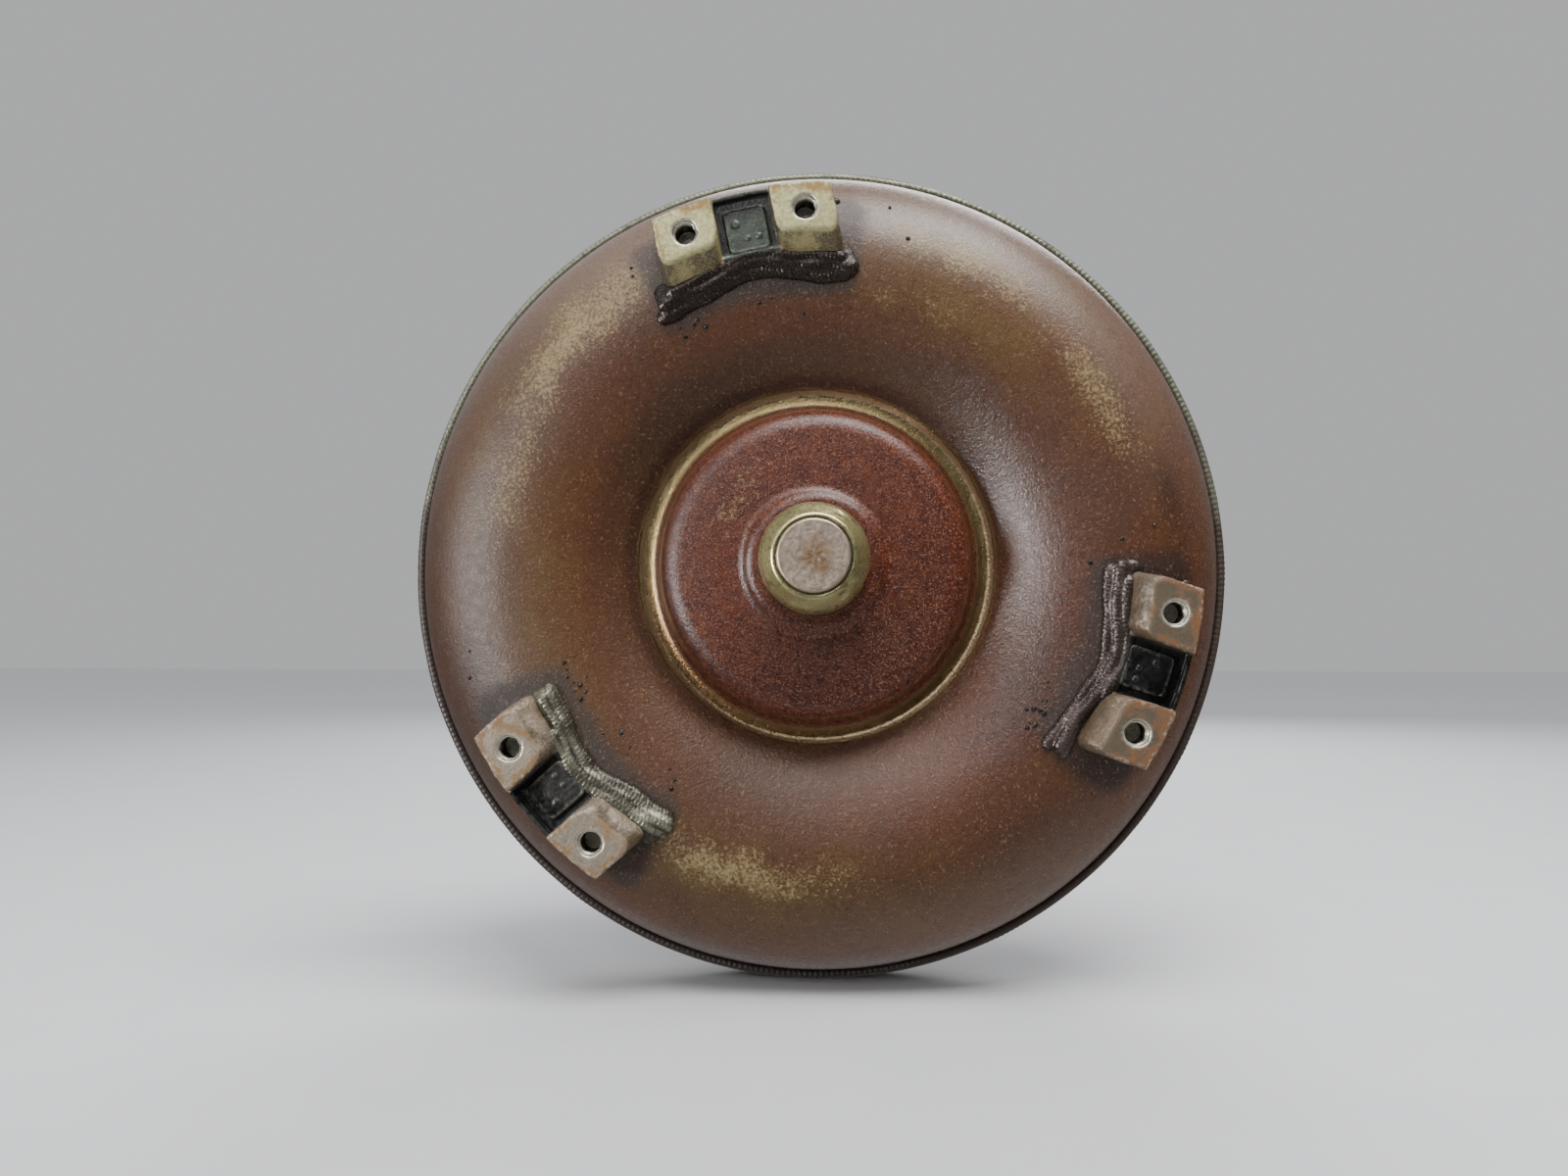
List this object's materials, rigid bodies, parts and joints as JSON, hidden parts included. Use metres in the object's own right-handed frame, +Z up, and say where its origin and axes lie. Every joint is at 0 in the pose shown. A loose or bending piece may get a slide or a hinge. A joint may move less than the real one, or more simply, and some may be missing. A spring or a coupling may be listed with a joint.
{
  "type": "torque converter",
  "caption": "Welded torque converter with bulged front cover, centre pilot, tapped drive lugs, impeller, turbine, stator with one-way clutch and slotted pump hub.",
  "frame": {"origin": "on the axis of rotation, in the plane of the seam between front cover and impeller shell", "axes": "-Y along the axis towards the engine, +Y towards the transmission, +Z up, +X to the right seen from the engine"},
  "size_m": [0.286, 0.1325, 0.286],
  "materials": {
    "scorched_paint": "satin, heat-browned, worn and speckled",
    "pilot_steel": "turned, yellowed",
    "lug_steel": "milled faces, rust at the edges",
    "weld_bead": "dark rippled bead with oxide",
    "plain_steel": "pressed sheet, oiled",
    "ground_steel": "ground and polished",
    "drain_steel": "oiled, browned",
    "copper": "dull copper",
    "bronze": "sintered bronze",
    "cage_brass": "stamped",
    "cast_aluminium": "as cast"
  },
  "bodies": {
    "housing": {"front_cover": "scorched_paint", "pilot_boss": "pilot_steel", "drive_lug_top": "lug_steel", "drive_lug_left": "lug_steel", "drive_lug_right": "lug_steel", "lug_welds": "weld_bead", "seam_weld": "weld_bead", "impeller_shell": "scorched_paint", "impeller_blades": "plain_steel", "impeller_core_ring": "plain_steel", "impeller_hub": "ground_steel", "hub_weld": "weld_bead", "drain_boss": "drain_steel", "drain_plug": "drain_steel", "drain_plug_seal": "copper", "balance_weights": "drain_steel", "rear_bearing_race": "ground_steel"},
    "turbine": {"turbine_shell": "plain_steel", "turbine_blades": "plain_steel", "turbine_core_ring": "plain_steel", "turbine_hub": "ground_steel", "turbine_rivets": "plain_steel", "turbine_thrust_washer": "bronze", "front_bearing_race": "ground_steel"},
    "stator": {"stator_wheel": "cast_aluminium", "clutch_outer_race": "ground_steel", "clutch_rollers": "ground_steel", "clutch_springs": "plain_steel", "clutch_front_plate": "plain_steel", "clutch_rear_plate": "plain_steel", "stator_snap_rings": "plain_steel"},
    "inner_race": {"clutch_inner_race": "ground_steel"},
    "front_bearing": {"front_bearing_cage": "cage_brass", "front_bearing_needles": "ground_steel"},
    "rear_bearing": {"rear_bearing_cage": "cage_brass", "rear_bearing_needles": "ground_steel"}
  },
  "joints": [
    {"name": "turbine_spin", "type": "hinge", "parent": "housing", "child": "turbine", "pos_m": [0, 0, 0], "axis": [0, -1, 0], "continuous": true},
    {"name": "stator_spin", "type": "hinge", "parent": "housing", "child": "stator", "pos_m": [0, 0, 0], "axis": [0, -1, 0], "continuous": true},
    {"name": "inner_race_slip", "type": "hinge", "parent": "stator", "child": "inner_race", "pos_m": [0, 0, 0], "axis": [0, -1, 0], "continuous": true},
    {"name": "front_bearing_spin", "type": "hinge", "parent": "housing", "child": "front_bearing", "pos_m": [0, 0, 0], "axis": [0, -1, 0], "continuous": true},
    {"name": "rear_bearing_spin", "type": "hinge", "parent": "housing", "child": "rear_bearing", "pos_m": [0, 0, 0], "axis": [0, -1, 0], "continuous": true}
  ],
  "couplings": [
    {"joint": "front_bearing_spin", "follows": "turbine_spin", "ratio": 0.5},
    {"joint": "rear_bearing_spin", "follows": "stator_spin", "ratio": 0.5}
  ]
}
